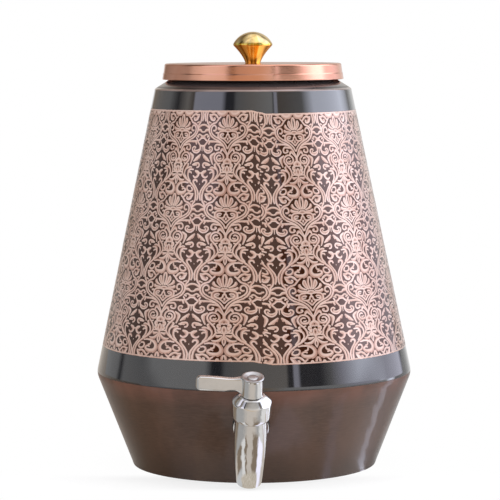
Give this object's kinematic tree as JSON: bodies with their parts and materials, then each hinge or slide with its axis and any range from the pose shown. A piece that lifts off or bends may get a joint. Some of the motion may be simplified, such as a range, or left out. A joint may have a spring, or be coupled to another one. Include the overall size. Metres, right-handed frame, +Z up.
{
  "type": "copper water dispenser",
  "caption": "Two-cone copper water vessel with a lift-off lid, a turned knob and a tilted quarter-turn tap low on its front.",
  "frame": {"origin": "middle of the ring that the vessel stands on, level with the floor", "axes": "+Z up along the vessel's axis, -Y towards the tap, -X the way the lever points when the tap is shut"},
  "size_m": [0.1992, 0.2293, 0.2737],
  "materials": {
    "brown_lacquer": "satin brown lacquer over spun copper sheet",
    "dark_gloss": "dark gloss finish with an etched copper pattern over spun copper sheet",
    "copper_lid": "polished copper sheet",
    "knob_brass": "polished turned brass",
    "valve_brass": "machined brass",
    "chrome": "bright chrome plate",
    "steel": "plain stainless steel",
    "rubber": "black rubber",
    "ceramic": "lapped white ceramic",
    "plastic": "white acetal"
  },
  "bodies": {
    "vessel": {"lower_body": "brown_lacquer", "upper_body": "dark_gloss", "base_plate": "brown_lacquer", "tap_body": "chrome", "outer_gasket": "rubber", "inner_gasket": "rubber", "inner_washer": "steel", "lock_nut": "steel", "bonnet_nut": "chrome", "cartridge_body": "valve_brass", "cartridge_o_ring": "rubber", "seat_seal": "rubber", "fixed_disc": "ceramic"},
    "lid": {"lid": "copper_lid", "knob": "knob_brass", "knob_screw": "steel", "knob_washer": "steel"},
    "handle": {"handle": "chrome", "handle_screw": "steel", "handle_cap": "chrome", "spindle": "valve_brass", "moving_disc": "ceramic", "spindle_o_rings": "rubber", "thrust_washer": "plastic"}
  },
  "joints": [
    {"name": "lid_lift", "type": "slide", "parent": "vessel", "child": "lid", "axis": [0, 0, 1], "range_m": [0, 0.08]},
    {"name": "handle_turn", "type": "hinge", "parent": "vessel", "child": "handle", "pos_m": [0, -0.10777, 0.03168], "axis": [0.0436, -0.3623, 0.9311], "range_deg": [0, 90]}
  ]
}
